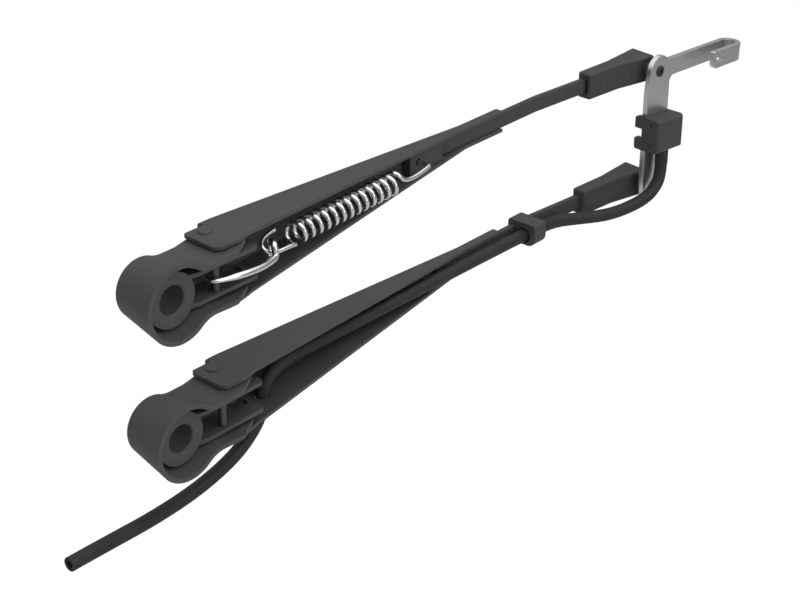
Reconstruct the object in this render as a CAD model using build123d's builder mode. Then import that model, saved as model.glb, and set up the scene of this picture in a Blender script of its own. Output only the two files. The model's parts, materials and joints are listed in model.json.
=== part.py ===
"""Parallel-link wiper arm: two hinged arms, a link plate with the blade hook, and a washer hose.

Sizes are in millimetres. X runs from the spindles to the tip, Y points away from the glass,
and Z points from the following arm up to the driving arm. The origin is on the driving
spindle's axis, where the straight wall of its bore begins. Sizes named back or ahead are
distances along X from the tip pivot.
"""
import os
from math import cos, pi, radians, sin, sqrt, tan

from build123d import *

os.makedirs("parts", exist_ok=True)

# Layout
spindle_spacing = 68.0
arm_reach = 355.0
hinge_x = 33.7
hinge_y = 14.7
drive_level = 0.0
follower_level = drive_level - spindle_spacing

# Fits
running_clearance = 0.05
seat_clearance = 0.02
thrust_gap = 0.2
wire_clearance = 0.3

# Head casting
drum_rim_radius = 18.4
drum_back_radius = 13.6
neck_rim_half = 12.0
neck_back_half = 11.2
neck_blend = 14.0
flare_lead = 0.7
flare_length = 8.0
flare_rim_rise = 0.4
head_rim_y = -6.3
head_back_y = 20.5
head_back_round = 2.6
skirt_wall = 2.2
skirt_cut_x = 32.3
skirt_end_x = 46.0
skirt_end_y = 0.5
skirt_end_round = 2.0
skirt_back_y = 11.0
pocket_floor_y = 11.5
boss_radius = 12.7
spindle_bore_radius = 6.7
spindle_bore_length = 12.5
bore_chamfer = 0.6
nut_recess_radius = 9.5
hinge_pad_radius = 6.0

# Cheeks of the head, which carry the spring's anchor pin
cheek_inner_half = 6.0
cheek_thickness = 2.0
cheek_front_y = -1.5
cheek_end_x = 50.0
cheek_end_y = 12.0
cheek_round = 2.5
cheek_back_x = 44.5
cheek_back_y = 16.5
cheek_hole_x = 44.0
cheek_hole_y = 10.1
cheek_hole_radius = 4.2
anchor_pin_x = 26.4
anchor_pin_y = 1.5
anchor_pin_radius = 1.9

# Folded sheet channel
sheet = 1.8
ear_start_x = 25.5
ear_half = 15.0
ear_near_y = -1.8
ear_back_y = 20.0
ear_near_round = 4.0
ear_far_round = 2.0
taper_start_x = 44.0
taper_end_back = 141.0
channel_end_back = 112.0
channel_tip_half = 5.8
web_start_x = 37.8
web_outer_y = 24.0
fold_round = 2.0
near_flat_x = 38.0
near_step_x = 47.0
near_step_y = 0.25
near_tip_y = 18.0
hose_hole_radius = 4.6
hose_hole_x = 63.7
hose_hole_y = 14.3

# Hinge pin
hinge_pin_radius = 3.0
rivet_head_radius = 3.5
rivet_head_height = 0.9

# Flat bar
bar_width = 8.0
bar_thickness = 3.0
bar_root_back = 161.5
bar_bend_back = 83.0
bar_end_back = 5.0
bar_fall = 5.2
bar_bend_radius = 30.0
bar_root_round = 3.9

# Spring anchor block
block_start_back = 185.0
block_end_back = 157.5
block_thickness = 5.4
block_hole_back = 179.0
block_hole_radius = 1.6

# Tip boot, bush and screw
boot_half = 7.2
boot_start_back = 45.0
boot_waist_back = 21.5
boot_end_ahead = 4.4
boot_end_near_ahead = 2.6
boot_start_near_y = 12.5
boot_start_far_y = 20.8
boot_waist_near_y = 10.2
boot_waist_far_y = 19.3
boot_end_near_y = 4.2
boot_end_far_y = 20.4
boot_round = 1.2
bush_radius = 5.0
bush_seat_y = 6.5
tip_screw_radius = 2.25
tip_screw_end_y = 16.0
tip_head_radius = 3.15
tip_head_height = 0.9
hex_across_flats = 3.0
hex_depth = 0.7

# Link plate and blade hook
plate_thickness = 3.0
plate_width = 20.2
plate_end_radius = 8.8
strip_width = 10.0
strip_start_ahead = 10.0
strip_start_z = -0.3
strip_slope = 3.7
strip_fillet = 3.5
hook_centre_ahead = 61.7
hook_gap = 7.5
hook_return = 24.4
hook_low_corner = 4.0
hook_top_corner = 0.8
hook_slot_length = 6.2
hook_slot_width = 3.1
hook_slot_back = 18.4

# Spray nozzle
nozzle_left_wall = 2.6
nozzle_right_wall = 1.7
nozzle_front_y = -12.0
nozzle_top_z = -23.3
nozzle_height = 19.4
nozzle_slant = 2.2
nozzle_round = 2.8
socket_depth = 3.0
prong_end_y = 4.2
prong_lip = 1.0
prong_gap_top_z = -30.3
prong_gap_bottom_z = -36.1
jet_y = -6.0
jet_radius = 1.1
jet_depth = 1.0
jet_levels = (-27.0, -39.3)
outlet_y = -6.2
sleeve_radius = 3.6
sleeve_length = 12.5

# Spring hook rod
hook_rod_radius = 1.65
hook_eye_radius = 3.4
hook_eye_half = 1.4
hook_eye_round = 1.0
hook_dip_x = 33.0
hook_dip_y = -4.3
hook_bow_x = 47.0
hook_bow_y = -4.2
hook_bow_radius = 22.0
catch_wire_radius = 1.5
catch_x = 60.9
catch_near_y = 0.6
catch_far_y = 6.3
catch_lean = 2.7
catch_level = -2.4
catch_rise = 4.6
catch_drop = 2.2
catch_bend = 2.2
catch_root = 3.5

# Tension spring
spring_wire_radius = 1.1
spring_mean_radius = 4.7
spring_turns = 13.5
spring_start_x = 78.1
spring_start_y = 6.5
spring_end_back = 204.9
spring_end_y = 9.6
spring_lead = 2.6
spring_end_bend = 1.8
spring_corner_x = 75.0
spring_corner_bend = 1.6
loop_leg_y = 3.05
loop_leg_z = -2.6
loop_far_y = 9.75
loop_far_z = 2.6
loop_left_x = 60.4
loop_bend = 4.1
loop_tail_x = 71.0
loop_tail_y = 10.4
loop_tail_z = 3.6
anchored_corner_back = 198.5
anchored_corner_y = 7.2
anchored_leg_y = 9.7
anchored_bend = 4.0

# Washer hose and its clip
hose_radius = 3.4
hose_bore_radius = 2.0
clip_start_back = 97.5
clip_length = 10.0
clip_near_y = 6.0
clip_top = 7.0
clip_bottom = -5.8
clip_back_wall = 2.0
clip_near_round = 5.0
clip_far_round = 2.0
clip_hose_y = 13.5
clip_hose_drop = 0.4
clip_hose_clearance = 0.5
bend_share = 0.45

# Worked-out sizes
ear_inner_half = ear_half - sheet
web_inner_y = web_outer_y - sheet
hinge_barrel_radius = head_back_y - hinge_y
hinge_pad_half = ear_inner_half - thrust_gap
hinge_back_half = hinge_pad_half - thrust_gap
hinge_rim_half = neck_rim_half + flare_rim_rise
blend_reach = drum_rim_radius + neck_blend
blend_height = neck_rim_half + neck_blend
flare_start_x = sqrt(blend_reach**2 - blend_height**2) + flare_lead
flare_end_x = flare_start_x + flare_length
taper_end_x = arm_reach - taper_end_back
channel_end_x = arm_reach - channel_end_back
bar_root_x = arm_reach - bar_root_back
bar_bend_x = arm_reach - bar_bend_back
bar_end_x = arm_reach - bar_end_back
block_start_x = arm_reach - block_start_back
block_end_x = arm_reach - block_end_back
block_hole_x = arm_reach - block_hole_back
boot_start_x = arm_reach - boot_start_back
boot_waist_x = arm_reach - boot_waist_back
boot_end_x = arm_reach + boot_end_ahead
boot_end_near_x = arm_reach + boot_end_near_ahead
strip_start_x = arm_reach + strip_start_ahead
hook_centre_x = arm_reach + hook_centre_ahead
nozzle_left_x = arm_reach - plate_width / 2 - nozzle_left_wall
nozzle_right_x = arm_reach + plate_width / 2 + nozzle_right_wall
spring_end_x = arm_reach - spring_end_back
anchored_corner_x = arm_reach - anchored_corner_back
clip_start_x = arm_reach - clip_start_back
cheek_outer_half = cheek_inner_half + cheek_thickness
bar_centre_y = web_inner_y - bar_thickness / 2
bar_end_y = bar_centre_y - (bar_end_x - bar_bend_x) * tan(radians(bar_fall))
plate_half = plate_thickness / 2
hook_bend_radius = hook_gap / 2 + plate_half


def front_view(y, level):
    """Plane seen from the glass: its first axis is X, its second Z, and it faces the glass."""
    return Plane(origin=(0, y, level), x_dir=(1, 0, 0), z_dir=(0, -1, 0))


def plan_view(z):
    """Plane seen from above, at height z."""
    return Plane.XY.offset(z)


def cross_section(x, level):
    """Plane across the arm: its first axis is Y, its second Z, and it faces the tip."""
    return Plane(origin=(x, 0, level), x_dir=(0, 1, 0), z_dir=(1, 0, 0))


def save(builder, name):
    """Names a finished piece and writes it."""
    builder.part.label = name
    export_step(builder.part, f"parts/{name}.step")


def keyhole(drum_radius, neck_half, hinge_half, end_x):
    """Outline of the head: a drum that runs into a neck, which flares towards the hinge."""
    with BuildSketch(Plane.XY, mode=Mode.PRIVATE) as outline:
        with BuildLine():
            Polyline(
                (0, neck_half),
                (flare_start_x, neck_half),
                (flare_end_x, hinge_half),
                (end_x, hinge_half),
                (end_x, -hinge_half),
                (flare_end_x, -hinge_half),
                (flare_start_x, -neck_half),
                (0, -neck_half),
                close=True,
            )
        make_face()
        Circle(drum_radius)
        corners = outline.vertices().filter_by_position(Axis.X, 1, drum_radius)
        fillet(corners, neck_blend)
    return outline.sketch


def build_head(level, name):
    """Die-cast head: drum with a spindle boss, skirts, two cheeks and the hinge barrel."""
    past_end_x = cheek_end_x + skirt_wall
    side = drum_rim_radius + skirt_wall
    with BuildPart() as head:
        with BuildSketch(front_view(head_rim_y, level)):
            add(keyhole(drum_rim_radius, neck_rim_half, hinge_rim_half, skirt_end_x))
        with BuildSketch(front_view(head_back_y, level)):
            add(keyhole(drum_back_radius, neck_back_half, hinge_back_half, skirt_end_x))
        loft(ruled=True)
        back_edges = head.faces().sort_by(Axis.Y)[-1].edges().sort_by(Axis.X)[:-1]
        fillet(back_edges, head_back_round)

        # Raised pads that face the channel's ears
        for bottom in (hinge_back_half - skirt_wall, -hinge_pad_half):
            with BuildSketch(plan_view(level + bottom)):
                with Locations((hinge_x, hinge_y)):
                    Circle(hinge_pad_radius)
            extrude(amount=hinge_pad_half - hinge_back_half + skirt_wall)

        # Slanted skirt ends and the round behind the hinge, seen from above
        with BuildSketch(plan_view(level - side)):
            with BuildLine():
                Polyline(
                    (hinge_x, head_back_y),
                    (-side, head_back_y),
                    (-side, head_rim_y),
                    (skirt_cut_x, head_rim_y),
                    (skirt_end_x - skirt_end_round, skirt_end_y),
                    (skirt_end_x, skirt_end_y + skirt_end_round),
                    (skirt_end_x, skirt_back_y),
                    (hinge_x + hinge_barrel_radius, hinge_y),
                )
                RadiusArc(
                    (hinge_x + hinge_barrel_radius, hinge_y),
                    (hinge_x, head_back_y),
                    -hinge_barrel_radius,
                )
            make_face()
        extrude(amount=2 * side, mode=Mode.INTERSECT)

        # Pocket on the glass side, open past the hinge
        with BuildSketch(front_view(head_rim_y, level)):
            rim_outline = (drum_rim_radius, neck_rim_half, hinge_rim_half)
            add(keyhole(*[size - skirt_wall for size in rim_outline], past_end_x))
        with BuildSketch(front_view(pocket_floor_y, level)):
            add(keyhole(boss_radius, neck_back_half - skirt_wall, hinge_back_half - skirt_wall, past_end_x))
        loft(ruled=True, mode=Mode.SUBTRACT)
        with BuildSketch(front_view(pocket_floor_y, level)):
            with Locations(((hinge_x + past_end_x) / 2, 0)):
                Rectangle(past_end_x - hinge_x, 2 * (hinge_rim_half - skirt_wall))
        extrude(amount=pocket_floor_y - head_back_y, mode=Mode.SUBTRACT)

        # Spindle boss
        with BuildSketch(front_view(-bore_chamfer, level)):
            Circle(boss_radius)
        extrude(amount=-bore_chamfer - spindle_bore_length)

        # Cheeks with a round hole each
        for bottom in (cheek_inner_half, -cheek_outer_half):
            with BuildSketch(plan_view(level + bottom)) as cheek:
                with BuildLine():
                    Polyline(
                        (spindle_bore_radius + cheek_thickness, 0),
                        (boss_radius + cheek_thickness, cheek_front_y),
                        (cheek_end_x, cheek_front_y),
                        (cheek_end_x, cheek_end_y),
                        (cheek_back_x, cheek_back_y),
                        (hinge_x, hinge_y + hinge_pin_radius),
                        (spindle_bore_radius + cheek_thickness, pocket_floor_y),
                        close=True,
                    )
                make_face()
                fillet(cheek.vertices().group_by(Axis.X)[-1], cheek_round)
                with Locations((cheek_hole_x, cheek_hole_y)):
                    Circle(cheek_hole_radius, mode=Mode.SUBTRACT)
                with Locations((anchor_pin_x, anchor_pin_y)):
                    Circle(anchor_pin_radius + seat_clearance, mode=Mode.SUBTRACT)
            extrude(amount=cheek_thickness)

        # Hinge barrel between the skirts
        with BuildSketch(plan_view(level - hinge_back_half + skirt_wall / 2)):
            with Locations((hinge_x, hinge_y)):
                Circle(hinge_barrel_radius)
        extrude(amount=2 * hinge_back_half - skirt_wall)

        # Spindle bore, nut recess and hinge bore
        with BuildSketch(front_view(-bore_chamfer, level)):
            Circle(spindle_bore_radius)
        extrude(amount=-bore_chamfer - head_back_y, mode=Mode.SUBTRACT)
        with BuildSketch(front_view(spindle_bore_length, level)):
            Circle(nut_recess_radius)
        extrude(amount=spindle_bore_length - head_back_y, mode=Mode.SUBTRACT)
        boss_face = head.faces().filter_by(Axis.Y).filter_by_position(Axis.Y, -2 * bore_chamfer, 0)[0]
        chamfer(boss_face.inner_wires()[0].edges(), bore_chamfer)
        with BuildSketch(plan_view(level - side)):
            with Locations((hinge_x, hinge_y)):
                Circle(hinge_pin_radius + running_clearance)
        extrude(amount=2 * side, mode=Mode.SUBTRACT)
    save(head, name)


def build_anchor_pin(level, name):
    """Plain pin across the cheeks."""
    with BuildPart() as pin:
        with BuildSketch(plan_view(level - cheek_outer_half)):
            with Locations((anchor_pin_x, anchor_pin_y)):
                Circle(anchor_pin_radius)
        extrude(amount=2 * cheek_outer_half)
    save(pin, name)


def side_outline(inset):
    """Half-heights along the channel, seen from the glass, moved in by the inset."""
    start_x = ear_start_x - inset
    end_x = channel_end_x + inset
    with BuildSketch(Plane.XY, mode=Mode.PRIVATE) as outline:
        with BuildLine():
            Polyline(
                (start_x, ear_half - inset),
                (taper_start_x, ear_half - inset),
                (taper_end_x, channel_tip_half - inset),
                (end_x, channel_tip_half - inset),
                (end_x, inset - channel_tip_half),
                (taper_end_x, inset - channel_tip_half),
                (taper_start_x, inset - ear_half),
                (start_x, inset - ear_half),
                close=True,
            )
        make_face()
    return outline.sketch


def build_channel(level, name, has_hose_hole):
    """Folded sheet channel, open towards the glass, with two hinge ears at its root."""
    with BuildPart() as channel:
        with BuildSketch(plan_view(level - ear_half)) as plan:
            with BuildLine():
                Polyline(
                    (ear_start_x, ear_near_y),
                    (near_flat_x, ear_near_y),
                    (near_step_x, near_step_y),
                    (taper_end_x, near_tip_y),
                    (channel_end_x, near_tip_y),
                    (channel_end_x, web_outer_y),
                    (web_start_x, web_outer_y),
                    (web_start_x, ear_back_y),
                    (ear_start_x, ear_back_y),
                    close=True,
                )
            make_face()
            root_corners = plan.vertices().group_by(Axis.X)[0].sort_by(Axis.Y)
            fillet(root_corners[0], ear_near_round)
            fillet(plan.vertices().sort_by_distance((ear_start_x, ear_back_y))[0], ear_far_round)
        extrude(amount=2 * ear_half)
        with BuildSketch(front_view(web_outer_y, level)):
            add(side_outline(0))
        extrude(amount=web_outer_y - ear_near_y, mode=Mode.INTERSECT)
        web_face = channel.faces().filter_by(Axis.Y).sort_by(Axis.Y)[-1]
        fillet(web_face.edges().filter_by(Axis.Z, reverse=True), fold_round)

        # Inside of the fold, and the gap between the ears
        with BuildSketch(front_view(web_inner_y, level)):
            add(side_outline(sheet))
        extrude(amount=web_outer_y - ear_near_y, mode=Mode.SUBTRACT)
        with BuildSketch(front_view(web_outer_y + sheet, level)):
            with Locations((ear_start_x, 0)):
                Rectangle(2 * (web_start_x - ear_start_x), 2 * ear_inner_half)
        extrude(amount=web_outer_y, mode=Mode.SUBTRACT)

        with BuildSketch(plan_view(level - ear_half)):
            with Locations((hinge_x, hinge_y)):
                Circle(hinge_pin_radius + seat_clearance)
        extrude(amount=2 * ear_half, mode=Mode.SUBTRACT)
        if has_hose_hole:
            with BuildSketch(plan_view(level - ear_half)):
                with Locations((hose_hole_x, hose_hole_y)):
                    Circle(hose_hole_radius)
            extrude(amount=ear_half, mode=Mode.SUBTRACT)
    save(channel, name)


def build_hinge_pin(level, name):
    """Riveted pin through both ears and the head's barrel."""
    with BuildPart() as pin:
        with BuildSketch(Plane(origin=(hinge_x, hinge_y, level), x_dir=(1, 0, 0), z_dir=(0, -1, 0))):
            with BuildLine():
                Polyline(
                    (0, -ear_half - rivet_head_height),
                    (hinge_pin_radius, -ear_half - rivet_head_height),
                    (rivet_head_radius, -ear_half),
                    (hinge_pin_radius, -ear_half),
                    (hinge_pin_radius, ear_half),
                    (rivet_head_radius, ear_half),
                    (hinge_pin_radius, ear_half + rivet_head_height),
                    (0, ear_half + rivet_head_height),
                    close=True,
                )
            make_face()
        revolve(axis=Axis((hinge_x, hinge_y, level), (0, 0, 1)))
    save(pin, name)


def build_bar(level, name):
    """Flat bar, straight in the channel's tip and then bent towards the glass."""
    with BuildPart() as bar:
        with BuildLine() as centre_line:
            FilletPolyline(
                (bar_root_x, bar_centre_y, level),
                (bar_bend_x, bar_centre_y, level),
                (bar_end_x, bar_end_y, level),
                radius=bar_bend_radius,
            )
        with BuildSketch(cross_section(bar_root_x, level)):
            with Locations((bar_centre_y, 0)):
                Rectangle(bar_thickness, bar_width)
        sweep(path=centre_line.wires()[0])
        root_edges = bar.edges().filter_by(Axis.Y).group_by(Axis.X)[0]
        fillet(root_edges, bar_root_round)
    save(bar, name)


def build_boot(level, name):
    """Moulded boot over the bar's end, with the pivot's bore."""
    with BuildPart() as boot:
        with BuildSketch(plan_view(level - boot_half)):
            with BuildLine():
                Polyline(
                    (boot_start_x, boot_start_near_y),
                    (boot_waist_x, boot_waist_near_y),
                    (boot_end_near_x, boot_end_near_y),
                    (boot_end_x, boot_end_far_y),
                    (boot_waist_x, boot_waist_far_y),
                    (boot_start_x, boot_start_far_y),
                    close=True,
                )
            make_face()
        extrude(amount=2 * boot_half)
        fillet(boot.edges(), boot_round)

        # Slot for the bar, seat for the bush and bore for the tip screw
        bar_direction = (cos(radians(bar_fall)), -sin(radians(bar_fall)), 0)
        with BuildSketch(Plane(origin=(bar_end_x, bar_end_y, level), x_dir=(0, 0, 1), z_dir=bar_direction)):
            Rectangle(bar_width + 2 * seat_clearance, bar_thickness + 2 * seat_clearance)
        extrude(amount=boot_start_x - bar_end_x - boot_half, mode=Mode.SUBTRACT)
        with BuildSketch(front_view(bush_seat_y, level)):
            with Locations((arm_reach, 0)):
                Circle(bush_radius + wire_clearance)
        extrude(amount=bush_seat_y, mode=Mode.SUBTRACT)
        with BuildSketch(front_view(tip_screw_end_y, level)):
            with Locations((arm_reach, 0)):
                Circle(tip_screw_radius + seat_clearance)
        extrude(amount=tip_screw_end_y, mode=Mode.SUBTRACT)
    save(boot, name)


def build_bush(level, name):
    """Spacer bush between the boot and the link plate."""
    with BuildPart() as bush:
        with BuildSketch(front_view(bush_seat_y, level)):
            with Locations((arm_reach, 0)):
                Circle(bush_radius)
                Circle(tip_screw_radius + seat_clearance, mode=Mode.SUBTRACT)
        extrude(amount=bush_seat_y - plate_half - thrust_gap)
    save(bush, name)


def build_tip_screw(level, name):
    """Low-headed shoulder screw on which the link plate turns."""
    head_back_face_y = -plate_half - thrust_gap
    head_front_face_y = head_back_face_y - tip_head_height
    with BuildPart() as screw:
        with BuildSketch(front_view(tip_screw_end_y, level)):
            with Locations((arm_reach, 0)):
                Circle(tip_screw_radius)
        extrude(amount=tip_screw_end_y - head_back_face_y)
        with BuildSketch(front_view(head_back_face_y, level)):
            with Locations((arm_reach, 0)):
                Circle(tip_head_radius)
        extrude(amount=tip_head_height)
        with BuildSketch(front_view(head_front_face_y, level)):
            with Locations((arm_reach, 0)):
                RegularPolygon(hex_across_flats / 2, 6, major_radius=False)
        extrude(amount=-hex_depth, mode=Mode.SUBTRACT)
    save(screw, name)


for side_name, side_level in (("drive", drive_level), ("follower", follower_level)):
    build_head(side_level, f"{side_name}_head")
    build_anchor_pin(side_level, f"{side_name}_anchor_pin")
    build_channel(side_level, f"{side_name}_channel", side_name == "follower")
    build_hinge_pin(side_level, f"{side_name}_hinge_pin")
    build_bar(side_level, f"{side_name}_bar")
    build_boot(side_level, f"{side_name}_tip_boot")
    build_bush(side_level, f"{side_name}_tip_bush")
    build_tip_screw(side_level, f"{side_name}_tip_screw")


# Spring anchor block, which fills the driving channel in front of the bar's root
with BuildPart() as spring_anchor_block:
    with BuildSketch(front_view(web_inner_y, drive_level)):
        add(side_outline(sheet + seat_clearance))
        with Locations(((block_start_x + block_end_x) / 2, 0)):
            Rectangle(block_end_x - block_start_x, 2 * ear_half, mode=Mode.INTERSECT)
        with Locations((bar_root_x + bar_root_round, 0)):
            Circle(bar_width / 2 + wire_clearance, mode=Mode.SUBTRACT)
        with Locations((block_hole_x, 0)):
            Circle(block_hole_radius, mode=Mode.SUBTRACT)
    extrude(amount=block_thickness)
save(spring_anchor_block, "spring_anchor_block")


def sweep_wire(line, radius):
    """Sweeps a round wire along a finished line."""
    path = line.wires()[0]
    with BuildSketch(Plane(origin=path @ 0, z_dir=path % 0)) as section:
        Circle(radius)
    sweep(section.sketch, path=path, is_frenet=True)


# Spring hook: an eye on the anchor pin, a bowed rod, and a catch that arches over the spring's loop
catch_z = drive_level + catch_level
catch_top_z = catch_z + catch_rise
with BuildPart() as spring_hook:
    with BuildLine() as rod_line:
        FilletPolyline(
            (anchor_pin_x, anchor_pin_y, drive_level),
            (hook_dip_x, hook_dip_y, drive_level),
            (hook_bow_x, hook_bow_y, drive_level + catch_level / 2),
            (catch_x, catch_near_y, catch_z),
            radius=hook_bow_radius,
        )
    sweep_wire(rod_line, hook_rod_radius)
    rod = rod_line.wires()[0]
    catch_root_point = rod @ 1 - (rod % 1) * catch_root
    with BuildLine() as catch_line:
        FilletPolyline(
            catch_root_point,
            (catch_x, catch_near_y, catch_z),
            (catch_x, catch_near_y, catch_top_z),
            (catch_x + catch_lean, catch_far_y, catch_top_z),
            (catch_x + catch_lean, catch_far_y, catch_z - catch_drop),
            radius=catch_bend,
        )
    sweep_wire(catch_line, catch_wire_radius)
    with BuildPart(mode=Mode.PRIVATE) as eye:
        with BuildSketch(plan_view(drive_level - hook_eye_half)):
            with Locations((anchor_pin_x, anchor_pin_y)):
                Circle(hook_eye_radius)
        extrude(amount=2 * hook_eye_half)
        fillet(eye.edges().filter_by(GeomType.CIRCLE), hook_eye_round)
    add(eye.part)
    with BuildSketch(plan_view(drive_level - hook_eye_radius)):
        with Locations((anchor_pin_x, anchor_pin_y)):
            Circle(anchor_pin_radius + running_clearance)
    extrude(amount=2 * hook_eye_radius, mode=Mode.SUBTRACT)
save(spring_hook, "spring_hook")


# Tension spring: an open coil from its lowest point to its highest, with a loop at the hook's end
# and a leg that drops into the anchor block at the other
spring_axis = Vector(spring_end_x - spring_start_x, spring_end_y - spring_start_y, 0)
spring_start = Vector(spring_start_x, spring_start_y, drive_level)
loop_low_z = drive_level + loop_leg_z
loop_high_z = drive_level + loop_far_z
with BuildPart() as tension_spring:
    with BuildLine() as coil_line:
        turned_coil = Helix(
            pitch=spring_axis.length / spring_turns,
            height=spring_axis.length,
            radius=spring_mean_radius,
            center=spring_start,
            direction=spring_axis,
            mode=Mode.PRIVATE,
        )
        turn_to_lowest = (turned_coil @ 0 - spring_start).get_signed_angle(Vector(0, 0, -1), spring_axis)
        add(turned_coil.rotate(Axis(spring_start, spring_axis), turn_to_lowest))
    coil = coil_line.wires()[0]
    sweep_wire(coil_line, spring_wire_radius)
    with BuildLine() as loop_line:
        FilletPolyline(
            coil @ 0,
            coil @ 0 - (coil % 0) * spring_lead,
            (spring_corner_x, loop_leg_y, loop_low_z),
            (loop_left_x, loop_leg_y, loop_low_z),
            (loop_left_x, loop_far_y, loop_high_z),
            (loop_tail_x, loop_tail_y, drive_level + loop_tail_z),
            radius=(spring_corner_bend, spring_corner_bend, loop_bend, loop_bend),
        )
    sweep_wire(loop_line, spring_wire_radius)
    with BuildLine() as anchored_leg:
        FilletPolyline(
            coil @ 1,
            coil @ 1 + (coil % 1) * spring_lead,
            (anchored_corner_x, anchored_corner_y, drive_level),
            (block_hole_x, anchored_leg_y, drive_level),
            (block_hole_x, web_inner_y - block_thickness / 2, drive_level),
            radius=(spring_end_bend, spring_end_bend, anchored_bend),
        )
    sweep_wire(anchored_leg, spring_wire_radius)
save(tension_spring, "tension_spring")


# Link plate: a long plate between the two tip pivots, with a strip bent into the blade hook
strip_direction = Vector(cos(radians(strip_slope)), 0, -sin(radians(strip_slope)))
strip_run = (hook_centre_x - arm_reach) / cos(radians(strip_slope))
strip_z = strip_start_z + (strip_start_x - arm_reach) * tan(radians(strip_slope))
strip_origin = Vector(arm_reach, 0, drive_level + strip_z)
strip_plane = Plane(origin=strip_origin, x_dir=strip_direction, z_dir=(0, -1, 0))
hook_plane = Plane(origin=strip_origin, x_dir=strip_direction, z_dir=strip_direction.cross(Vector(0, 1, 0)))
with BuildPart() as link_plate:
    with BuildSketch(front_view(plate_half, drive_level)):
        with Locations((arm_reach, 0), (arm_reach, -spindle_spacing)):
            Circle(plate_end_radius)
        with Locations((arm_reach, -spindle_spacing / 2)):
            Rectangle(plate_width, spindle_spacing - plate_width)
        make_hull()
    extrude(amount=plate_thickness)
    with BuildLine(hook_plane) as hook_line:
        Line((0, 0), (strip_run, 0))
        RadiusArc((strip_run, 0), (strip_run, -2 * hook_bend_radius), hook_bend_radius)
        Line((strip_run, -2 * hook_bend_radius), (strip_run - hook_return, -2 * hook_bend_radius))
    with BuildSketch(Plane(origin=strip_origin, x_dir=(0, 1, 0), z_dir=strip_direction)):
        Rectangle(plate_thickness, strip_width)
    sweep(path=hook_line.wires()[0])

    # Blends where the strip leaves the plate
    strip_root = strip_origin + strip_direction * plate_end_radius
    strip_corners = link_plate.edges().filter_by(Axis.Y).sort_by_distance(strip_root)
    fillet(strip_corners[:2], strip_fillet)

    # Rounded end of the return leg, and the catch slot in it
    leg_face = link_plate.faces().filter_by(Axis.Y).sort_by(Axis.Y)[0]
    leg_end = leg_face.edges().sort_by(Axis.X)[0]
    leg_corners = [edge for edge in link_plate.edges().filter_by(Axis.Y) if edge.distance_to(leg_end) == 0]
    low_corner, top_corner = ShapeList(leg_corners).sort_by(Axis.Z)
    fillet(top_corner, hook_top_corner)
    fillet(low_corner, hook_low_corner)
    with BuildSketch(strip_plane.offset(hook_bend_radius)):
        with Locations((strip_run - hook_slot_back, 0)):
            SlotOverall(hook_slot_length, hook_slot_width)
    extrude(amount=2 * hook_bend_radius, mode=Mode.SUBTRACT)

    # Pivot bores
    with BuildSketch(front_view(plate_half, drive_level)):
        with Locations((arm_reach, 0), (arm_reach, -spindle_spacing)):
            Circle(tip_screw_radius + running_clearance)
    extrude(amount=plate_thickness, mode=Mode.SUBTRACT)
save(link_plate, "link_plate")


# Spray nozzle, which clips round the link plate, with its top and bottom a little aslant
nozzle_left_top_z = drive_level + nozzle_top_z
nozzle_right_top_z = nozzle_left_top_z - nozzle_slant
nozzle_depth = prong_end_y - nozzle_front_y
sleeve_top_z = nozzle_left_top_z - nozzle_slant / 2 - nozzle_height + socket_depth
with BuildPart() as spray_nozzle:
    with BuildSketch(front_view(prong_end_y, 0)):
        with BuildLine():
            Polyline(
                (nozzle_left_x, nozzle_left_top_z),
                (nozzle_right_x, nozzle_right_top_z),
                (nozzle_right_x, nozzle_right_top_z - nozzle_height),
                (nozzle_left_x, nozzle_left_top_z - nozzle_height),
                close=True,
            )
        make_face()
    extrude(amount=nozzle_depth)
    front_edges = spray_nozzle.faces().sort_by(Axis.Y)[0].edges()
    fillet(front_edges, nozzle_round)
    prong_corners = spray_nozzle.faces().sort_by(Axis.Y)[-1].edges().filter_by(Axis.Z, reverse=True)
    fillet(prong_corners, nozzle_round / 2)

    # Grip round the plate, with an open mouth behind it and a gap between the prongs
    with BuildSketch(plan_view(nozzle_left_top_z)):
        with Locations((arm_reach, 0)):
            Rectangle(plate_width + 2 * seat_clearance, plate_thickness + 2 * seat_clearance)
        with Locations((arm_reach, prong_end_y)):
            Rectangle(plate_width - 2 * prong_lip, 2 * prong_end_y)
    extrude(amount=-nozzle_height - nozzle_slant, mode=Mode.SUBTRACT)
    with BuildSketch(cross_section(nozzle_left_x, drive_level)):
        with Locations((prong_end_y / 2, (prong_gap_top_z + prong_gap_bottom_z) / 2)):
            Rectangle(prong_end_y + plate_thickness / 3, prong_gap_top_z - prong_gap_bottom_z)
    extrude(amount=nozzle_right_x - nozzle_left_x, mode=Mode.SUBTRACT)

    # Jets on the side that faces the arms
    with BuildSketch(cross_section(nozzle_left_x, drive_level)):
        with Locations(*[(jet_y, jet_z) for jet_z in jet_levels]):
            Circle(jet_radius)
    extrude(amount=jet_depth, mode=Mode.SUBTRACT)

    # Socket for the hose's sleeve
    with BuildSketch(plan_view(sleeve_top_z)):
        with Locations((arm_reach, outlet_y)):
            Circle(sleeve_radius + seat_clearance)
    extrude(amount=-nozzle_height, mode=Mode.SUBTRACT)
save(spray_nozzle, "spray_nozzle")


# Sleeve that holds the hose on the nozzle's outlet
with BuildPart() as hose_sleeve:
    with BuildSketch(plan_view(sleeve_top_z)):
        with Locations((arm_reach, outlet_y)):
            Circle(sleeve_radius)
            Circle(hose_bore_radius, mode=Mode.SUBTRACT)
    extrude(amount=-sleeve_length)
save(hose_sleeve, "hose_sleeve")


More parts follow.
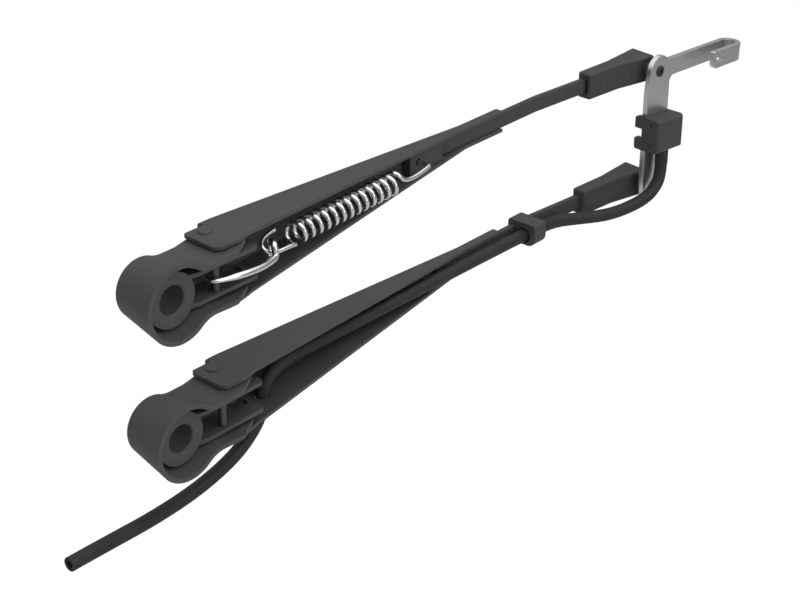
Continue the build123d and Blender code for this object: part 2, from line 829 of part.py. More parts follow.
# Washer hose, from the sleeve through the clip and the follower's channel to its bare end
hose_points = [
    (arm_reach, outlet_y, sleeve_top_z - sleeve_length),
    (arm_reach, -6.2, -61.0),
    (arm_reach - 4.6, -6.2, -66.4),
    (arm_reach - 12.0, -5.8, -70.0),
    (arm_reach - 24.0, -3.6, -72.1),
    (arm_reach - 39.0, 0.8, -73.2),
    (arm_reach - 55.0, 8.2, -71.8),
    (arm_reach - 72.0, 12.8, -68.9),
    (arm_reach - 93.0, 13.6, -68.4),
    (arm_reach - 131.0, 14.2, -68.2),
    (164.0, 14.6, -68.0),
    (124.0, 14.5, -67.8),
    (96.0, 14.4, -67.4),
    (76.0, 14.3, -67.2),
    (64.4, 14.3, -73.6),
    (63.5, 14.3, -86.0),
    (57.6, 14.3, -95.2),
    (44.4, 14.3, -104.6),
    (20.2, 14.3, -111.0),
    (-6.8, 14.3, -112.9),
    (-30.8, 14.3, -112.3),
    (-54.8, 14.3, -112.0),
]


def bend_radii(points):
    """Bend at each inner point that takes up the same share of the shorter run beside it."""
    corners = [Vector(point) for point in points]
    radii = []
    for before, here, after in zip(corners, corners[1:], corners[2:]):
        shorter_run = min((here - before).length, (after - here).length)
        half_turn = radians((here - before).get_angle(after - here) / 2)
        radii.append(bend_share * shorter_run / tan(half_turn))
    return radii


hose_radii = bend_radii(hose_points)
print("Hose bend radii:", [round(radius, 1) for radius in hose_radii])
with BuildPart() as washer_hose:
    with BuildLine() as hose_line:
        FilletPolyline(*hose_points, radius=hose_radii)
    hose_path = hose_line.wires()[0]
    with BuildSketch(Plane(origin=hose_path @ 0, z_dir=hose_path % 0)):
        Circle(hose_radius)
        Circle(hose_bore_radius, mode=Mode.SUBTRACT)
    sweep(path=hose_path)
hose_section = pi * (hose_radius**2 - hose_bore_radius**2)
print("Hose length:", round(hose_path.length, 1))
volume_share = washer_hose.part.volume / (hose_section * hose_path.length)
print("Hose volume over section times length:", round(volume_share, 4))
save(washer_hose, "washer_hose")


# Clip that holds the hose against the follower's bar
clip_far_y = web_inner_y + clip_back_wall
clip_middle_y = (clip_near_y + clip_far_y) / 2
clip_middle = (clip_top + clip_bottom) / 2
with BuildPart() as hose_clip:
    with BuildSketch(cross_section(clip_start_x, follower_level)) as clip_section:
        with Locations((clip_middle_y, clip_middle)):
            Rectangle(clip_far_y - clip_near_y, clip_top - clip_bottom)
        fillet(clip_section.vertices().group_by(Axis.Y)[0], clip_near_round)
        fillet(clip_section.vertices().group_by(Axis.Y)[-1], clip_far_round)
        with Locations((bar_centre_y, 0)):
            bar_slot = (bar_thickness + 2 * seat_clearance, bar_width + 2 * seat_clearance)
            Rectangle(*bar_slot, mode=Mode.SUBTRACT)
        with Locations((clip_hose_y, -clip_hose_drop)):
            Circle(hose_radius + clip_hose_clearance, mode=Mode.SUBTRACT)
    extrude(amount=clip_length)
save(hose_clip, "hose_clip")
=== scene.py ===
"""Looks of the parallel-link wiper arm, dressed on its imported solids.

The arm's sizes are in millimetres where no comment says metres. The scene itself is in metres.
"""
import json
from math import cos, pi, radians, sin

import bmesh
import bpy
from mathutils import Matrix, Vector


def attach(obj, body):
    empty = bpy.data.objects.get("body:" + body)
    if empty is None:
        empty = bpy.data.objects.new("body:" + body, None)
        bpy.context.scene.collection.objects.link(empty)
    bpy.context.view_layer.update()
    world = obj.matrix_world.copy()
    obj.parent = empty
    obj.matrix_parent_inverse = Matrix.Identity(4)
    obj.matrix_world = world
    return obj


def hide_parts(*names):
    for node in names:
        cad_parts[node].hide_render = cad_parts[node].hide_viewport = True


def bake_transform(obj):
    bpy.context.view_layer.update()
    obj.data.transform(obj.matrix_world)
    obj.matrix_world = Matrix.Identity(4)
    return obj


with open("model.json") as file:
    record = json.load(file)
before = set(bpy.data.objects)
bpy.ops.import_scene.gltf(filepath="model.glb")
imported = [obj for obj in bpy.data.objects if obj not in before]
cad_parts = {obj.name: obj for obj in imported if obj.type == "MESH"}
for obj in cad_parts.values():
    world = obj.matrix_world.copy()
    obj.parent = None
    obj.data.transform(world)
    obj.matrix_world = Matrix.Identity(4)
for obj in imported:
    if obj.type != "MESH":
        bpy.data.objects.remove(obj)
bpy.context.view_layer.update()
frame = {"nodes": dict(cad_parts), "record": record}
mm = 0.001

# Camera, as the photograph's, with its place in millimetres
camera_azimuth = -48.453
camera_elevation = 28.03
camera_lens = 82.83
camera_place = (-443.1, -519.9, 360.3)

# Stage, in metres and watts
floor_level = -0.42
floor_half = 5.0
floor_glow_share = 0.94
floor_glow = 1.05
light_aim = (0.15, 0.0, -0.03)
key_place = (0.3, -0.6, 1.0)
key_size = 1.3
key_power = 6.3
fill_place = (0.1, -1.2, 0.12)
fill_size = 0.6
fill_power = 2.8
ambient_strength = 0.75

# What mirrored rays see: a bright ceiling, a dark horizon and a grey floor
mirrored_floor = 0.61
mirrored_floor_near = 0.9
mirrored_floor_far = 1.9
mirrored_horizon = 0.22
mirrored_horizon_height = 0.2
mirrored_overhead = 1.15
mirrored_overhead_height = 0.75

# Layout of the arm
follower_level = -68.0
pin_x, pin_y = 26.4, 1.5

# Washer hose: its sizes, and the distance back and radius of each step of its cut end
hose_radius = 3.4
hose_bore = 2.0
hose_bore_depth = 14.0
hose_end = [(0.35, 3.4), (0.1, 3.3), (0.0, 3.05), (0.0, 2.3), (0.12, 2.08), (0.4, 2.0)]
hose_sides = 40
hose_crease = 50

# The hose's route in millimetres
hose_route = [
    (355.0, -6.2, -53.3),
    (355.0, -6.2, -61.0),
    (350.4, -6.2, -66.4),
    (343.0, -5.8, -70.0),
    (331.0, -3.6, -72.1),
    (316.0, 0.8, -73.2),
    (300.0, 8.2, -71.8),
    (283.0, 12.8, -68.9),
    (262.0, 13.6, -68.4),
    (224.0, 14.2, -68.2),
    (164.0, 14.6, -68.0),
    (124.0, 14.5, -67.8),
    (96.0, 14.4, -67.4),
    (76.0, 14.3, -67.2),
    (64.4, 14.3, -73.6),
    (63.5, 14.3, -86.0),
    (57.6, 14.3, -95.2),
    (44.4, 14.3, -104.6),
    (20.2, 14.3, -111.0),
    (-6.8, 14.3, -112.9),
    (-30.8, 14.3, -112.3),
    (-54.8, 14.3, -112.0),
]

# Tension spring: the routes of its two ends, and the coil between them
spring_wire = 1.1
coil_radius = 4.7
coil_turns = 13.5
coil_start = Vector((78.1, 6.5, 0.0))
coil_end = Vector((150.1, 9.6, 0.0))
loop_route = [
    (76.6, 3.05, -3.0),
    (60.1, 3.0, -2.7),
    (59.7, 10.0, 2.7),
    (71.0, 10.4, 3.6),
]
anchored_route = [
    (155.4, 6.4, -0.8),
    (176.0, 9.2, 0.0),
    (176.0, 11.4, 0.0),
    (176.0, 19.5, 0.0),
]
coil_lead = 2.2

# Fineness of the wires and routes
wire_sides = 20
coil_steps = 48
curl_steps = 20
route_steps = 14

# Marks of the mould's pins on the boots
mark_radius = 1.3
mark_depth = 5.0
boot_marks = [(320.3, 11.5, 0.0), (338.7, 8.9, -0.4), (319.5, 11.5, -68.6), (338.3, 9.0, -68.0)]

# Catch slot in the blade hook's return leg, along the sloping strip
slot_centre = Vector((398.338, -10.5, -2.456))
slot_half_length = 3.1
slot_half_width = 1.55
slot_depth = 2.0
slot_rim = (0.5, 1.02)
strip_slope = 3.7

# Heads of the tip screws
screw_head_height = 0.9
screw_head_share = 0.45
screw_socket_floor = 0.6
screw_socket_drop = 0.4
screw_seat_margin = 0.05

# Hole in the follower channel, drawn in round the hose
hose_hole = (63.7, 14.3)
hose_hole_radius = 4.6
hose_hole_rim = 0.1
hose_hole_drop = 3
snug_hole_radius = 3.7

# Dressing of the solids' meshes: the weld in metres, flats, bevels, and the wear on soft mouldings
weld_distance = 2e-6
flat_angle = 0.4
crease_angle = 32
flat_weight = 90
bevel_steps = 2
soft_grid = 0.22
soft_passes = 14

# Spring hook: a rod that curls round the anchor pin, bows, and arches over the spring's loop
hook_wire = 1.65
curl_radius = 3.2
curl_share = 0.8
curl_first_turn = 60.0
curl_last_turn = 249.0
swell_length = 9.0
hook_route = [
    (33.0, -4.7, 0.0),
    (46.5, -5.0, -1.2),
    (57.0, -1.9, -2.5),
    (61.9, 0.3, -3.0),
    (61.4, 0.7, 2.9),
    (63.8, 6.3, 2.9),
    (63.6, 6.3, -4.6),
]


class Value:
    """A socket's value, on which Python's operators add Math nodes."""

    def __init__(self, builder, socket):
        self.builder = builder
        self.socket = socket

    def maths(self, operation, first, second):
        return self.builder.add("ShaderNodeMath", {"operation": operation}, {0: first, 1: second})

    def __add__(self, other):
        return self.maths("ADD", self, other)

    def __sub__(self, other):
        return self.maths("SUBTRACT", self, other)

    def __rsub__(self, other):
        return self.maths("SUBTRACT", other, self)

    def __mul__(self, other):
        return self.maths("MULTIPLY", self, other)

    __radd__ = __add__
    __rmul__ = __mul__


class Nodes:
    """Adds nodes to one tree."""

    def __init__(self, tree):
        self.tree = tree

    def add(self, kind, settings=None, sockets=None, output=0):
        """Adds a node, sets it up, feeds its sockets and returns one of its outputs."""
        node = self.tree.nodes.new(kind)
        for name, setting in (settings or {}).items():
            setattr(node, name, setting)
        for name, value in (sockets or {}).items():
            self.feed(node.inputs[name], value)
        return Value(self, node.outputs[output])

    def feed(self, socket, value):
        """Links a value to a socket, or sets the socket to a plain one."""
        if isinstance(value, Value):
            self.tree.links.new(value.socket, socket)
        else:
            socket.default_value = value


class Finish(Nodes):
    """A procedural surface finish."""

    def __init__(self, name, constants):
        self.material = bpy.data.materials.new(name)
        self.material.use_nodes = True
        super().__init__(self.material.node_tree)
        self.shader = self.tree.nodes["Principled BSDF"]
        for socket, value in constants.items():
            self.shader.inputs[socket].default_value = value
        self.place = self.add("ShaderNodeTexCoord", output="Object")

    def stretched(self, scale, source=None):
        """Coordinates stretched along the axes."""
        return self.add("ShaderNodeMapping", None, {"Vector": source or self.place, "Scale": scale})

    def noise(self, scale, detail=2.0, source=None):
        """Soft random pattern between 0 and 1, with so many features per metre."""
        sockets = {"Vector": source or self.place, "Scale": scale, "Detail": detail, "Roughness": 0.55}
        return self.add("ShaderNodeTexNoise", None, sockets)

    def band(self, value, low, high):
        """The value's rise from 0 at low to 1 at high."""
        return self.add("ShaderNodeMapRange", {"interpolation_type": "SMOOTHSTEP"}, {0: value, 1: low, 2: high})

    def mix(self, share, first, second):
        """Colour between two colours."""
        return self.add("ShaderNodeMix", {"data_type": "RGBA"}, {0: share, 6: first, 7: second}, output=2)

    def paint(self, colour, roughness):
        """Feeds colour and roughness."""
        self.feed(self.shader.inputs["Base Color"], colour)
        self.feed(self.shader.inputs["Roughness"], roughness)

    def relief(self, height, strength, distance):
        """Bump from a height pattern."""
        sockets = {"Height": height, "Strength": strength, "Distance": distance}
        self.feed(self.shader.inputs["Normal"], self.add("ShaderNodeBump", None, sockets))


def grey(level, warmth=0.0):
    """Grey with a trace of warmth or, below zero, of cold."""
    return (level * (1 + warmth), level, level * (1 - warmth), 1)


def satin_paint(name, level, roughness, peel):
    """Satin paint: faint clouds in its colour, orange peel, and fine dust specks."""
    finish = Finish(name, {"Specular IOR Level": 0.2})
    clouds = finish.noise(45, 3)
    specks = finish.band(finish.noise(2600, 1), 0.66, 0.74)
    colour = finish.mix(clouds, grey(level * 0.9), grey(level * 1.1, -0.004))
    colour = finish.mix(specks * 0.12, colour, grey(level * 2.6))
    finish.paint(colour, roughness + 0.1 * (finish.noise(160, 2) - 0.5) + 0.08 * specks)
    finish.relief(finish.noise(1100, 2) + 0.35 * finish.noise(4200, 1), peel, 0.00006)
    return finish.material


def grained_plastic(name, level, roughness, marks=()):
    """Moulded plastic: a fine spark-eroded grain, slightly uneven gloss, and any marks of the mould's pins."""
    finish = Finish(name, {"Specular IOR Level": 0.45})
    flow = finish.noise(70, 3)
    grain = finish.noise(5200, 2)
    colour = finish.mix(flow, grey(level * 0.88), grey(level * 1.12))
    colour = finish.mix(finish.band(grain, 0.6, 0.8) * 0.2, colour, grey(level * 1.7))
    height = grain + 0.3 * finish.noise(1500, 1)
    for mark in marks:
        settings = {"operation": "DISTANCE"}
        away = finish.add("ShaderNodeVectorMath", settings, {0: finish.place, 1: Vector(mark) * mm}, output="Value")
        outside = finish.band(away, 0.8 * mark_radius * mm, 1.2 * mark_radius * mm)
        height = height + mark_depth * outside
        colour = finish.mix(outside * (1 - outside) * 2.2, colour, grey(level * 2.2))
    finish.paint(colour, roughness + 0.12 * (flow - 0.5) + 0.08 * (grain - 0.5))
    finish.relief(height, 0.3, 0.00005)
    return finish.material


def extruded_rubber(name, level, roughness):
    """Extruded rubber: fine lines along the hose and a dull bloom in patches."""
    finish = Finish(name, {"Specular IOR Level": 0.25})
    along = finish.add("ShaderNodeUVMap", {"uv_map": "around and along"})
    lines = finish.noise(1, 2, finish.stretched((60, 9, 1), along))
    bloom = finish.band(finish.noise(85, 4), 0.42, 0.72)
    colour = finish.mix(bloom, grey(level), grey(level * 1.35, 0.01))
    finish.paint(colour, roughness + 0.16 * bloom + 0.1 * (lines - 0.5))
    finish.relief(lines + 0.3 * finish.noise(2400, 1), 0.25, 0.00005)
    return finish.material


def worked_metal(name, level, roughness, streaks, strength):
    """Bare metal with drawing or rolling streaks, stretched as the streaks' scale says."""
    finish = Finish(name, {"Metallic": 1.0})
    lines = finish.noise(1, 3, finish.stretched(streaks))
    patches = finish.noise(120, 3)
    tone = 0.65 * lines + 0.35 * patches
    colour = finish.mix(tone, grey(level * 0.93), grey(level * 1.05, 0.005))
    finish.paint(colour, roughness + 0.12 * (lines - 0.5) + 0.08 * (patches - 0.5))
    finish.relief(lines, strength, 0.00003)
    return finish.material


finishes = {
    "painted_casting": satin_paint("satin paint on casting", 0.064, 0.52, 0.34),
    "painted_sheet": satin_paint("satin paint on sheet", 0.059, 0.50, 0.22),
    "painted_bar": satin_paint("satin paint on bar", 0.047, 0.50, 0.24),
    "moulded_black": grained_plastic("grained black plastic", 0.037, 0.56),
    "moulded_boot": grained_plastic("grained boot plastic", 0.034, 0.58, boot_marks),
    "hose_rubber": extruded_rubber("extruded hose rubber", 0.021, 0.54),
    "stainless_plate": worked_metal("rolled stainless sheet", 0.66, 0.33, (260, 260, 2600), 0.12),
    "spring_steel": worked_metal("bright drawn wire", 0.80, 0.21, (900, 900, 900), 0.06),
    "pin_steel": worked_metal("dark turned pin", 0.13, 0.55, (300, 300, 3000), 0.12),
    "screw_steel": worked_metal("dark pivot screw", 0.10, 0.42, (1400, 300, 1400), 0.1),
}


def show(name, mesh, slot, body, *nodes, finish=None):
    """Puts a finished mesh in the scene for these nodes, in its finish and on its body."""
    piece = bpy.data.objects.new(name, mesh)
    bpy.context.scene.collection.objects.link(piece)
    mesh.materials.clear()
    mesh.materials.append(finishes[finish or slot])
    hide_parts(*nodes)
    if body:
        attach(piece, body)
    return piece


def smooth_by_angle(mesh, angle):
    """Smooth shading, with edges sharper than the angle kept."""
    mesh.shade_smooth()
    mesh.set_sharp_from_angle(angle=radians(angle))


def modified(mesh, *steps):
    """Mesh after a row of modifiers, each given as its kind and settings."""
    maker = bpy.data.objects.new(mesh.name + "_maker", mesh)
    bpy.context.scene.collection.objects.link(maker)
    for kind, settings in steps:
        modifier = maker.modifiers.new(kind.lower(), kind)
        for name, setting in settings.items():
            setattr(modifier, name, setting)
    result = bpy.data.meshes.new_from_object(maker.evaluated_get(bpy.context.evaluated_depsgraph_get()))
    bpy.data.objects.remove(maker)
    return result


def welded_shell(node):
    """Copy of a node's mesh with its loose triangles joined."""
    shell = bmesh.new()
    shell.from_mesh(frame["nodes"][node].data)
    bmesh.ops.remove_doubles(shell, verts=shell.verts, dist=weld_distance)
    return shell


def finished_mesh(name, shell):
    """Plain mesh from a finished shell."""
    mesh = bpy.data.meshes.new(name)
    shell.to_mesh(mesh)
    shell.free()
    return mesh


def softened_node(node):
    """Copy of a node's mesh with every edge worn round, as on a soft moulding."""
    mesh = finished_mesh(node + "_shell", welded_shell(node))
    worn = modified(
        mesh, ("REMESH", {"mode": "VOXEL", "voxel_size": soft_grid * mm}),
        ("SMOOTH", {"factor": 0.5, "iterations": soft_passes}),
    )
    worn.shade_smooth()
    return worn


def draw_in_hole(shell):
    """Brings the rim of the hose's hole in until it sits round the hose."""
    centre = Vector(hose_hole) * mm
    for vertex in shell.verts:
        outward = vertex.co.xy - centre
        on_rim = abs(outward.length - hose_hole_radius * mm) < hose_hole_rim * mm
        if on_rim and vertex.co.z < (follower_level - hose_hole_drop) * mm:
            vertex.co.xy = centre + outward.normalized() * snug_hole_radius * mm


def square_slot(shell):
    """Squares the round ends of the catch slot in the hook's return leg."""
    along = Vector((cos(radians(strip_slope)), 0, -sin(radians(strip_slope))))
    across = Vector((sin(radians(strip_slope)), 0, cos(radians(strip_slope))))
    for vertex in shell.verts:
        away = vertex.co / mm - slot_centre
        if abs(away.y) < slot_depth:
            reach = max(abs(away.dot(along)) / slot_half_length, abs(away.dot(across)) / slot_half_width)
            if slot_rim[0] < reach < slot_rim[1]:
                away.x, away.z = away.x / reach, away.z / reach
                vertex.co = (slot_centre + away) * mm


def lower_head(shell):
    """Presses a tip screw's head down to the share of its height that the photograph shows."""
    top = min(vertex.co.y for vertex in shell.verts)
    seat = top + screw_head_height * mm
    for vertex in shell.verts:
        if top + screw_socket_floor * mm < vertex.co.y < seat - screw_seat_margin * mm:
            vertex.co.y = seat + screw_socket_drop * mm
        elif vertex.co.y < seat:
            vertex.co.y = seat + screw_head_share * (vertex.co.y - seat)


def dressed_node(node, edge_round):
    """Copy of a node's mesh with its outer edges rounded and its flats shaded flat."""
    shell = welded_shell(node)
    if node == "follower_channel":
        draw_in_hole(shell)
    if node.endswith("tip_screw"):
        lower_head(shell)
    if node == "link_plate":
        square_slot(shell)
    bmesh.ops.dissolve_limit(shell, angle_limit=radians(flat_angle), verts=shell.verts, edges=shell.edges)
    if edge_round:
        joined = [edge for edge in shell.edges if len(edge.link_faces) == 2]
        sharp = [edge for edge in joined if edge.calc_face_angle_signed() > radians(crease_angle)]
        bmesh.ops.bevel(
            shell, geom=sharp, offset=edge_round * mm, segments=bevel_steps, profile=0.5,
            affect="EDGES", clamp_overlap=True, loop_slide=True,
        )
    mesh = finished_mesh(node + "_shell", shell)
    smooth_by_angle(mesh, crease_angle)
    return modified(mesh, ("WEIGHTED_NORMAL", {"keep_sharp": True, "weight": flat_weight}))


def route_points(points):
    """Places along the smooth line that has the route's points as its control points."""
    curve = bpy.data.curves.new("route", "CURVE")
    curve.dimensions = "3D"
    curve.resolution_u = route_steps
    spline = curve.splines.new("NURBS")
    spline.points.add(len(points) - 1)
    for point, place in zip(spline.points, points):
        point.co = (*(Vector(place) * mm), 1)
    spline.order_u = 3
    spline.use_endpoint_u = True
    route = bpy.data.objects.new("route", curve)
    bpy.context.scene.collection.objects.link(route)
    line = bpy.data.meshes.new_from_object(route.evaluated_get(bpy.context.evaluated_depsgraph_get()))
    places = [vertex.co.copy() for vertex in line.vertices]
    bpy.data.objects.remove(route)
    bpy.data.meshes.remove(line)
    return places


def bent_wire_tree():
    """Wire along the given lines, with a coil added where it has turns."""
    tree = bpy.data.node_groups.new("bent wire", "GeometryNodeTree")
    sockets = {}
    for name, kind in (
        ("Lines", "NodeSocketGeometry"), ("Wire Radius", "NodeSocketFloat"), ("Turns", "NodeSocketFloat"),
        ("Coil Radius", "NodeSocketFloat"), ("Coil Length", "NodeSocketFloat"), ("Coil Place", "NodeSocketVector"),
        ("Coil Turn", "NodeSocketVector"), ("Coiled", "NodeSocketBool"), ("Finish", "NodeSocketMaterial"),
    ):
        sockets[name] = tree.interface.new_socket(name, in_out="INPUT", socket_type=kind).identifier
    tree.interface.new_socket("Wire", in_out="OUTPUT", socket_type="NodeSocketGeometry")
    build = Nodes(tree)
    entry = tree.nodes.new("NodeGroupInput")
    given = {socket.name: Value(build, socket) for socket in entry.outputs if socket.name}
    coil = build.add("GeometryNodeCurveSpiral", None, {
        "Resolution": coil_steps, "Rotations": given["Turns"], "Start Radius": given["Coil Radius"],
        "End Radius": given["Coil Radius"], "Height": given["Coil Length"], "Reverse": True,
    })
    placed = build.add("GeometryNodeTransform", None, {
        "Geometry": coil, "Translation": given["Coil Place"], "Rotation": given["Coil Turn"],
    })
    wanted = build.add("GeometryNodeSwitch", {"input_type": "GEOMETRY"}, {"Switch": given["Coiled"], "True": placed})
    lines = tree.nodes.new("GeometryNodeJoinGeometry")
    for part in (given["Lines"], wanted):
        tree.links.new(part.socket, lines.inputs[0])
    section = build.add("GeometryNodeCurvePrimitiveCircle", None, {
        "Resolution": wire_sides, "Radius": given["Wire Radius"],
    })
    wire = build.add("GeometryNodeCurveToMesh", None, {
        "Curve": Value(build, lines.outputs[0]), "Profile Curve": section, "Fill Caps": True,
        "Scale": build.add("GeometryNodeInputRadius"),
    })
    smooth = build.add("GeometryNodeSetShadeSmooth", None, {"Geometry": wire, "Shade Smooth": True})
    solid = build.add("GeometryNodeRealizeInstances", None, {"Geometry": smooth})
    painted = build.add("GeometryNodeSetMaterial", None, {"Geometry": solid, "Material": given["Finish"]})
    leave = tree.nodes.new("NodeGroupOutput")
    tree.links.new(painted.socket, leave.inputs[0])
    return tree, sockets


wire_tree, wire_sockets = bent_wire_tree()


def bent_wire(name, lines, wire_radius, coil=None):
    """Mesh of a wire along lines of (place, thickness) in millimetres, and round a coil if there is one."""
    curve = bpy.data.curves.new(name + "_line", "CURVE")
    curve.dimensions = "3D"
    for line in lines:
        spline = curve.splines.new("POLY")
        spline.points.add(len(line) - 1)
        for point, (place, thickness) in zip(spline.points, line):
            point.co = (*(place * mm), 1)
            point.radius = thickness
    maker = bpy.data.objects.new(name + "_maker", curve)
    bpy.context.scene.collection.objects.link(maker)
    modifier = maker.modifiers.new("wire", "NODES")
    modifier.node_group = wire_tree
    values = {"Wire Radius": wire_radius * mm, "Finish": finishes["spring_steel"], "Coiled": bool(coil)}
    values.update(coil or {})
    for socket, value in values.items():
        modifier[wire_sockets[socket]] = value
    evaluated = maker.evaluated_get(bpy.context.evaluated_depsgraph_get())
    mesh = bpy.data.meshes.new_from_object(evaluated)
    bpy.data.objects.remove(maker)
    return mesh


def coil_point(turned, share):
    """Place and direction of the coil's wire at its start, 0, or its end, 1, in millimetres."""
    angle = 2 * pi * coil_turns * share
    rise = (coil_end - coil_start).length
    place = turned @ Vector((coil_radius * cos(angle), coil_radius * sin(angle), rise * share))
    slope = Vector((-coil_radius * sin(angle), coil_radius * cos(angle), rise / (2 * pi * coil_turns)))
    return coil_start + place, (turned @ slope).normalized()


def tension_spring_mesh():
    """Open coil with a loop at the hook's end and a leg into the anchor block."""
    axis = (coil_end - coil_start).normalized()
    lowest = Vector((0, 0, -1))
    lowest = (lowest - axis * lowest.dot(axis)).normalized()
    turned = Matrix((lowest, axis.cross(lowest), axis)).transposed()
    first, first_way = coil_point(turned, 0)
    last, last_way = coil_point(turned, 1)
    loop_line = route_points([first, first - first_way * coil_lead, *loop_route])
    leg_line = route_points([last, last + last_way * coil_lead, *anchored_route])
    lines = [[(place / mm, 1.0) for place in line] for line in (loop_line, leg_line)]
    return bent_wire("tension_spring", lines, spring_wire, {
        "Turns": coil_turns, "Coil Radius": coil_radius * mm, "Coil Length": (coil_end - coil_start).length * mm,
        "Coil Place": coil_start * mm, "Coil Turn": Vector(turned.to_euler()),
    })


def spring_hook_mesh():
    """Rod from its curl round the anchor pin to its catch in the spring's loop."""
    curl = []
    for step in range(curl_steps + 1):
        angle = radians(curl_first_turn + (curl_last_turn - curl_first_turn) * step / curl_steps)
        curl.append(Vector((pin_x + curl_radius * cos(angle), pin_y + curl_radius * sin(angle), 0.0)))
    rod = [place / mm for place in route_points([curl[-1], *hook_route])[1:]]
    thin = [(place, curl_share) for place in curl]
    gain = (1 - curl_share) / swell_length
    swell = [(place, min(1.0, curl_share + gain * (place.x - curl[-1].x))) for place in rod]
    return bent_wire("spring_hook", [thin + swell], hook_wire)


def hose_mesh(places):
    """Tube along the places, closed where it sits in the sleeve and bored where its end is bare."""
    ways = [(after - before).normalized() for before, after in zip(places, places[1:])]
    ways = [ways[0]] + [(a + b).normalized() for a, b in zip(ways, ways[1:])] + [ways[-1]]
    across = ways[0].orthogonal().normalized()
    stations = []
    run = 0.0
    for index, (place, way) in enumerate(zip(places, ways)):
        across = (across - way * across.dot(way)).normalized()
        if index:
            run += (place - places[index - 1]).length
        stations.append((place, across.copy(), way.cross(across), run))
    sizes = [(station, hose_radius) for station in stations]
    end, side, other, run = stations[-1]
    way = ways[-1]
    for back, radius in hose_end:
        sizes.append(((end - way * back * mm, side, other, run - back * mm), radius))
    sizes.append(((end - way * hose_bore_depth * mm, side, other, run - hose_bore_depth * mm), hose_bore))
    del sizes[len(stations) - 1]
    tube = bmesh.new()
    grid = tube.loops.layers.uv.new("around and along")
    rings = []
    for (place, side, other, run), radius in sizes:
        ring = []
        for step in range(hose_sides):
            angle = 2 * pi * step / hose_sides
            ring.append(tube.verts.new(place + (side * cos(angle) + other * sin(angle)) * radius * mm))
        rings.append((ring, run))
    for (lower, low_run), (upper, high_run) in zip(rings, rings[1:]):
        for step in range(hose_sides):
            beyond = (step + 1) % hose_sides
            face = tube.faces.new((lower[step], lower[beyond], upper[beyond], upper[step]))
            shares = ((step, low_run), (step + 1, low_run), (step + 1, high_run), (step, high_run))
            for loop, (turn, along) in zip(face.loops, shares):
                loop[grid].uv = (turn / hose_sides, along)
    tube.faces.new(list(reversed(rings[0][0])))
    tube.faces.new(rings[-1][0])
    mesh = finished_mesh("washer_hose", tube)
    smooth_by_angle(mesh, hose_crease)
    return mesh


# Rigid pieces, each from its own solid: the round on its outer edges, or None for a soft moulding
edge_rounds = {
    "head": 0.0, "anchor_pin": 0.25, "channel": 0.25, "hinge_pin": 0.7, "bar": 0.4, "tip_boot": 0.0,
    "tip_bush": 0.35, "tip_screw": 0.2,
}
single_rounds = {
    "spring_anchor_block": 0.4, "link_plate": 0.35, "spray_nozzle": None, "hose_sleeve": 0.4, "hose_clip": None,
}
body_of = {node: body for body, nodes in frame["record"]["behaviour"]["bodies"].items() for node in nodes}
slot_of = {entry["node"]: entry["material_slot"] for entry in frame["record"]["subparts"]}
rigid_rounds = {f"{side}_{part}": size for side in ("drive", "follower") for part, size in edge_rounds.items()}
rigid_rounds.update(single_rounds)
for node, size in rigid_rounds.items():
    finish = "moulded_boot" if node.endswith("boot") else None
    mesh = softened_node(node) if size is None else dressed_node(node, size)
    show(node + "_dressed", mesh, slot_of[node], body_of[node], node, finish=finish)

# Wires and hose
spring = show("tension_spring_wire", tension_spring_mesh(), "spring_steel", None, "tension_spring")
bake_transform(spring)
show("spring_hook_rod", spring_hook_mesh(), "spring_steel", "spring hook", "spring_hook")
hose_line = route_points(hose_route)
hose = show("washer_hose_tube", hose_mesh(hose_line), "hose_rubber", None, "washer_hose")
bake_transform(hose)


def ray_kinds(build):
    """Whether a ray comes from the camera, off a glossy surface or through glass."""
    path = build.tree.nodes.new("ShaderNodeLightPath")
    return [Value(build, path.outputs[name]) for name in ("Is Camera Ray", "Is Glossy Ray", "Is Transmission Ray")]


# World, floor, light and camera
world = bpy.data.worlds.new("studio")
bpy.context.scene.world = world
world.use_nodes = True
sky = Nodes(world.node_tree)
backdrop = world.node_tree.nodes["Background"]
sky.feed(backdrop.inputs["Color"], (1, 1, 1, 1))
seen, mirrored, through = ray_kinds(sky)
height = sky.add("ShaderNodeSeparateXYZ", None, {0: sky.add("ShaderNodeTexCoord", output="Generated")}, output="Z")
overhead = sky.add("ShaderNodeMapRange", {"interpolation_type": "SMOOTHSTEP"}, {
    0: height, 1: mirrored_horizon_height, 2: mirrored_overhead_height, 3: mirrored_horizon, 4: mirrored_overhead,
})
direct = (seen + through) * (1 - ambient_strength) + ambient_strength
sky.feed(backdrop.inputs["Strength"], (1 - mirrored) * direct + mirrored * overhead)

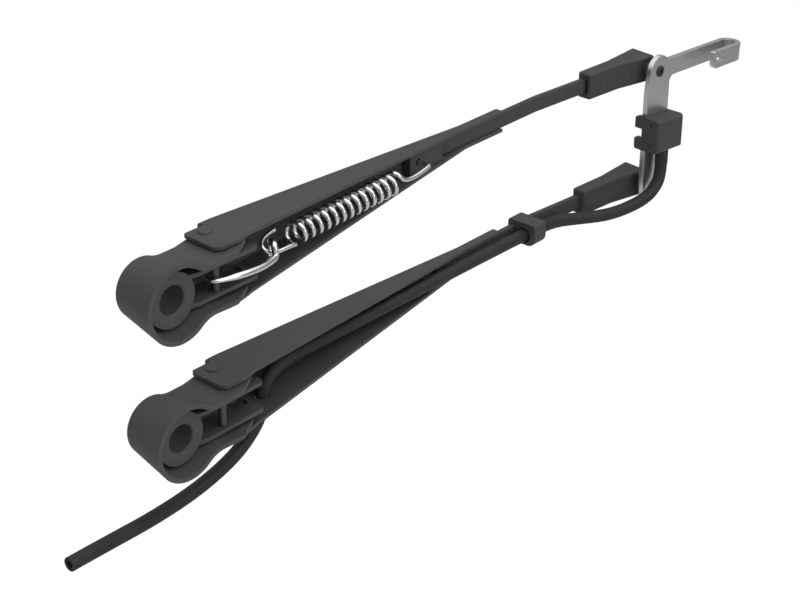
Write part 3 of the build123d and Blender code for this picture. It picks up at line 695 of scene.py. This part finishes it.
floor_mesh = bpy.data.meshes.new("floor")
floor_corners = [(x * floor_half, y * floor_half, floor_level) for x, y in ((-1, -1), (1, -1), (1, 1), (-1, 1))]
floor_mesh.from_pydata(floor_corners, [], [(0, 1, 2, 3)])
floor = bpy.data.objects.new("floor", floor_mesh)
bpy.context.scene.collection.objects.link(floor)
paper = Finish("white paper sweep", {"Roughness": 0.9, "Specular IOR Level": 0.1})
fibre = paper.noise(400, 3)
paper.feed(paper.shader.inputs["Base Color"], paper.mix(fibre, grey(0.58), grey(0.62)))
seen, mirrored, through = ray_kinds(paper)
far = paper.add("ShaderNodeVectorMath", {"operation": "LENGTH"}, {0: paper.place}, output="Value")
dimmed = paper.add("ShaderNodeMapRange", {"interpolation_type": "SMOOTHSTEP"}, {
    0: far, 1: mirrored_floor_near, 2: mirrored_floor_far, 3: mirrored_floor, 4: mirrored_horizon,
})
brightness = (seen + through) * floor_glow + mirrored * dimmed
glow = paper.add("ShaderNodeEmission", None, {"Color": (1, 1, 1, 1), "Strength": brightness})
lit_paper = paper.tree.nodes.new("ShaderNodeMixShader")
paper.feed(lit_paper.inputs[0], (seen + through + mirrored) * floor_glow_share)
paper.feed(lit_paper.inputs[1], Value(paper, paper.shader.outputs[0]))
paper.feed(lit_paper.inputs[2], glow)
paper.tree.links.new(lit_paper.outputs[0], paper.tree.nodes["Material Output"].inputs["Surface"])
floor_mesh.materials.append(paper.material)

for name, place, size, power in (
    ("overhead softbox", key_place, key_size, key_power),
    ("front softbox", fill_place, fill_size, fill_power),
):
    light = bpy.data.lights.new(name, "AREA")
    light.shape = "SQUARE"
    light.size = size
    light.energy = power
    softbox = bpy.data.objects.new(name, light)
    softbox.location = place
    softbox.rotation_euler = (Vector(light_aim) - Vector(place)).to_track_quat("-Z", "Y").to_euler()
    bpy.context.scene.collection.objects.link(softbox)

lens = bpy.data.cameras.new("photograph camera")
lens.lens = camera_lens
lens.sensor_width = 36.0
lens.clip_start = 0.01
camera = bpy.data.objects.new("photograph camera", lens)
camera.location = Vector(camera_place) * mm
camera.rotation_euler = (radians(90 - camera_elevation), 0, radians(camera_azimuth))
bpy.context.scene.collection.objects.link(camera)
bpy.context.scene.camera = camera
bpy.context.scene.view_settings.view_transform = "Standard"
